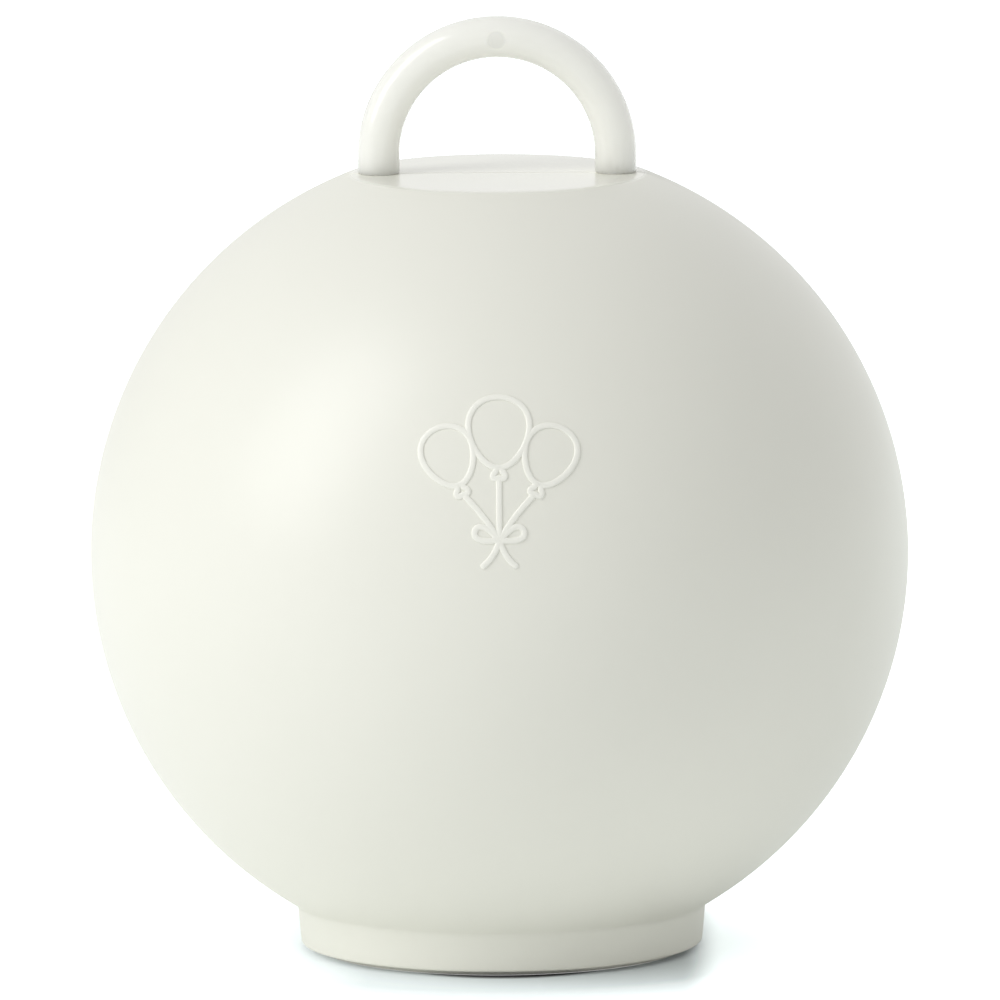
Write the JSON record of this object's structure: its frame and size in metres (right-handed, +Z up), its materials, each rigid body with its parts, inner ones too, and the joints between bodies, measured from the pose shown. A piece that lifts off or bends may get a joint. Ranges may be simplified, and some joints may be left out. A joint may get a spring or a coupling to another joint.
{
  "type": "balloon weight",
  "caption": "Kettlebell-shaped hollow plastic weight, sand filled, with a flat top, a round foot and an arched handle that balloon ribbons are tied to.",
  "frame": {"origin": "on the table, at the middle of the foot's bottom", "axes": "+Z up through the crown of the handle, X along the handle's width, front towards -Y"},
  "size_m": [0.055, 0.055, 0.0631],
  "materials": {
    "shell_plastic": "satin off-white moulded plastic",
    "handle_plastic": "polished off-white moulded plastic",
    "plug_plastic": "milky soft plastic",
    "sand": "dry fine sand"
  },
  "bodies": {
    "weight": {"front_shell": "shell_plastic", "back_shell": "shell_plastic", "handle": "handle_plastic", "ballast_sand": "sand"},
    "plug": {"fill_plug": "plug_plastic"}
  },
  "joints": [
    {"name": "plug_pull", "type": "slide", "parent": "weight", "child": "plug", "axis": [0, 0, -1], "range_m": [0, 0.012]}
  ]
}
